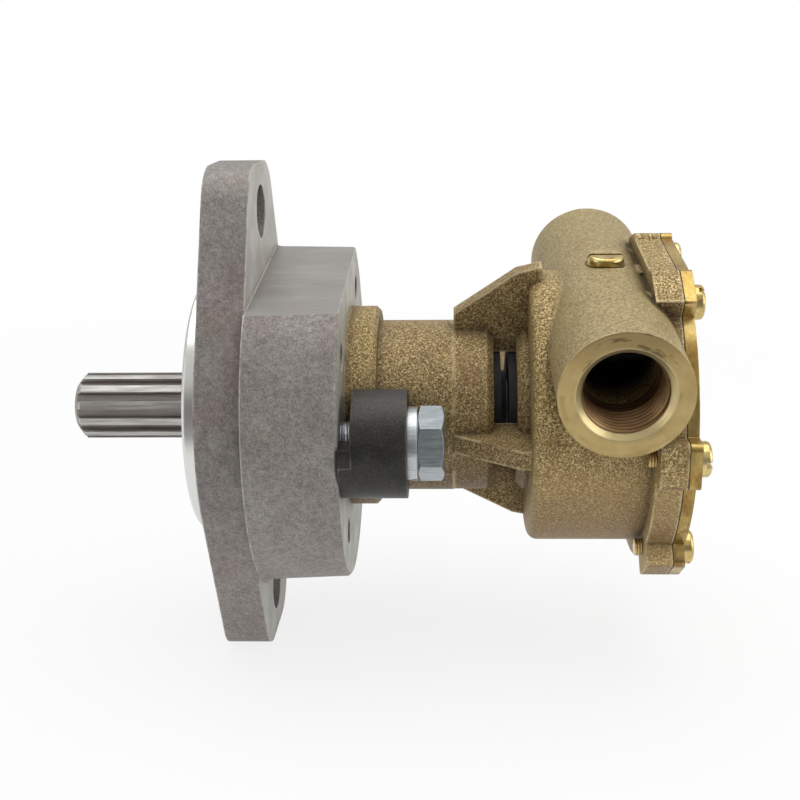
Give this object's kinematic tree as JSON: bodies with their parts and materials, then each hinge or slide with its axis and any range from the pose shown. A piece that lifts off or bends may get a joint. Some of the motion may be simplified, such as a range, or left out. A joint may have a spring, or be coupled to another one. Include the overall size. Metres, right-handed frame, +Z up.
{
  "type": "flexible impeller pump",
  "caption": "Flange mounted flexible impeller pump with a splined drive shaft, an eared aluminium adapter, a bronze body and two threaded ports in line.",
  "frame": {"origin": "on the shaft axis, in the front face of the mounting flange, where the pilot stands out of it", "axes": "+X along the shaft from the engine to the end cover, +Z up along the two ears, -Y towards the near port"},
  "size_m": [0.2431, 0.1504, 0.195],
  "materials": {
    "cast_aluminium": "sand cast, machined at the pilot and the rear face",
    "cast_bronze": "grainy sand cast bronze with machined port faces",
    "yellow_brass": "smooth",
    "spline_steel": "ground",
    "bearing_steel": "polished",
    "black_steel": "black oxide",
    "zinc_steel": "bluish zinc",
    "black_rubber": "moulded",
    "gasket_paper": "pressed"
  },
  "bodies": {
    "housing": {"adapter_flange": "cast_aluminium", "bearing_housing": "cast_bronze", "nose_o_ring": "black_rubber", "nose_oil_seal": "black_rubber", "front_outer_race": "bearing_steel", "rear_outer_race": "bearing_steel", "housing_circlip": "black_steel", "tail_oil_seal": "black_rubber", "pump_body": "cast_bronze", "water_seal": "black_rubber", "wear_plate": "yellow_brass", "cam_plate": "yellow_brass", "cam_screw": "yellow_brass", "cover_gasket": "gasket_paper", "end_cover": "yellow_brass", "cover_screws": "yellow_brass", "near_clamp": "black_steel", "far_clamp": "black_steel", "clamp_bolts": "zinc_steel", "clamp_washers": "zinc_steel"},
    "rotor": {"drive_shaft": "spline_steel", "front_inner_race": "bearing_steel", "rear_inner_race": "bearing_steel", "bearing_spacer": "spline_steel", "shaft_circlip": "black_steel", "slinger_ring": "black_rubber", "impeller_insert": "yellow_brass", "impeller_rubber": "black_rubber", "impeller_key": "spline_steel"},
    "front_ball_set": {"front_balls": "bearing_steel", "front_cage": "yellow_brass"},
    "rear_ball_set": {"rear_balls": "bearing_steel", "rear_cage": "yellow_brass"}
  },
  "joints": [
    {"name": "shaft_spin", "type": "hinge", "parent": "housing", "child": "rotor", "pos_m": [0, 0, 0], "axis": [1, 0, 0], "continuous": true, "deforming": ["impeller_rubber"]},
    {"name": "front_cage_spin", "type": "hinge", "parent": "housing", "child": "front_ball_set", "pos_m": [0.0555, 0, 0], "axis": [1, 0, 0], "continuous": true},
    {"name": "rear_cage_spin", "type": "hinge", "parent": "housing", "child": "rear_ball_set", "pos_m": [0.0805, 0, 0], "axis": [1, 0, 0], "continuous": true}
  ],
  "couplings": [
    {"joint": "front_cage_spin", "follows": "shaft_spin", "ratio": 0.4013},
    {"joint": "rear_cage_spin", "follows": "shaft_spin", "ratio": 0.4013}
  ]
}
